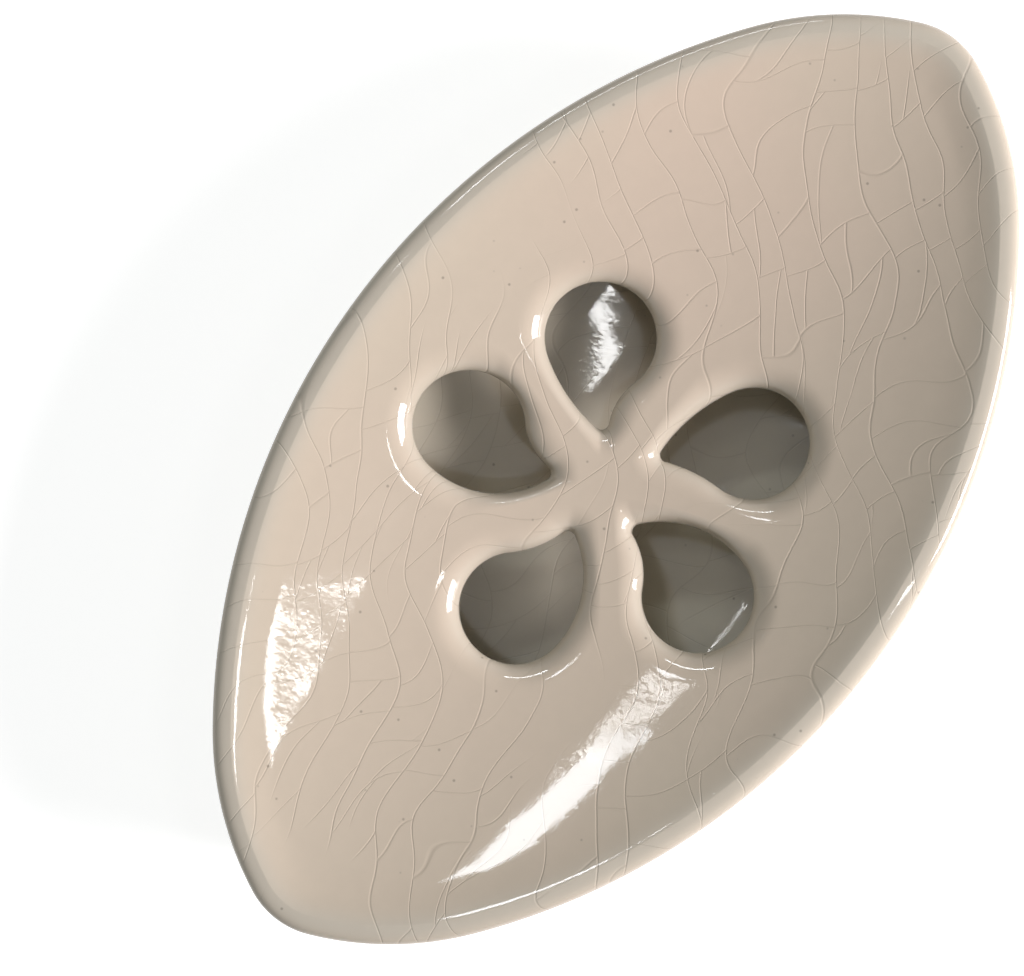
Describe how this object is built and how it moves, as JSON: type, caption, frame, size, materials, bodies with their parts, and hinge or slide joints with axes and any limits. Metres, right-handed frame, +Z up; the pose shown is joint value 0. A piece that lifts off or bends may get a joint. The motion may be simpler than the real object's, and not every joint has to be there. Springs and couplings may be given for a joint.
{
  "type": "soap dish",
  "caption": "Leaf-shaped glazed ceramic soap dish: a shallow drain plate with swirling drop-shaped holes lifts off a low drip tray.",
  "frame": {"origin": "on the resting plane, under the middle of the dish", "axes": "+X along the leaf from tip to tip, +Y across it, +Z up"},
  "size_m": [0.17, 0.097, 0.03],
  "materials": {
    "plate_glaze": "glossy celadon glaze with fine crackle",
    "tray_glaze": "glossy celadon glaze with fine crackle, bare clay under the foot"
  },
  "bodies": {
    "tray": {"drip_tray": "tray_glaze"},
    "plate": {"drain_plate": "plate_glaze"}
  },
  "joints": [
    {"name": "plate_lift", "type": "slide", "parent": "tray", "child": "plate", "axis": [0, 0, 1], "range_m": [0, 0.06]}
  ]
}
